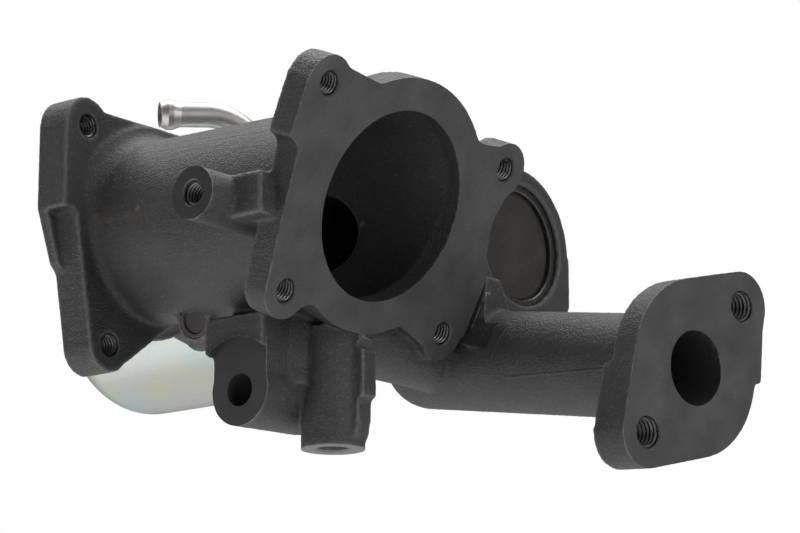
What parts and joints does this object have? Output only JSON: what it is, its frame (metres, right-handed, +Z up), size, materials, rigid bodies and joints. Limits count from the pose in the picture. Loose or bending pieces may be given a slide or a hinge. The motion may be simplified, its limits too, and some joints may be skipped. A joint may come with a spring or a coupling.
{
  "type": "egr valve",
  "caption": "Cast iron exhaust gas recirculation valve: air mixing tube with two flanges, exhaust pipe with its own flange, and a diaphragm actuator that moves a spring-closed poppet.",
  "frame": {"origin": "centre of the outlet flange's mating face", "axes": "+X from the outlet face into the housing, +Z up, so the air inlet, the plugged port and the exhaust pipe flange are at +X and the actuator can points to -X"},
  "size_m": [0.2259, 0.1519, 0.1291],
  "materials": {
    "cast_iron_black": "rough cast, black",
    "hard_steel": "machined",
    "plain_steel": "satin",
    "bright_steel": "bright",
    "bronze": "machined",
    "graphite": "matte",
    "zinc": "zinc plated",
    "rubber": "matte",
    "spring_steel": "satin",
    "stainless": "satin",
    "copper": "satin"
  },
  "bodies": {
    "valve_body": {"housing": "cast_iron_black", "valve_seat": "hard_steel", "stem_guide": "bronze", "stem_seal": "graphite", "seal_retainer": "plain_steel", "plug_gasket": "plain_steel", "port_plug": "plain_steel", "port_ring": "bright_steel", "heat_gasket": "graphite", "actuator_base": "zinc", "base_screws": "zinc", "diaphragm": "rubber", "actuator_can": "zinc", "spring_seat": "zinc", "return_spring": "spring_steel", "hose_stub": "stainless", "stub_collar": "stainless", "locating_sleeve": "bright_steel", "core_plug": "copper"},
    "valve_stem": {"poppet_valve": "hard_steel", "diaphragm_washer": "plain_steel", "spring_cup": "zinc", "stem_nut": "zinc"}
  },
  "joints": [
    {"name": "valve_lift", "type": "slide", "parent": "valve_body", "child": "valve_stem", "axis": [-1, 0, 0], "range_m": [0, 0.007], "stiffness_N_per_m": 2500, "springref_m": -0.012, "deforming": ["return_spring", "diaphragm"]}
  ]
}
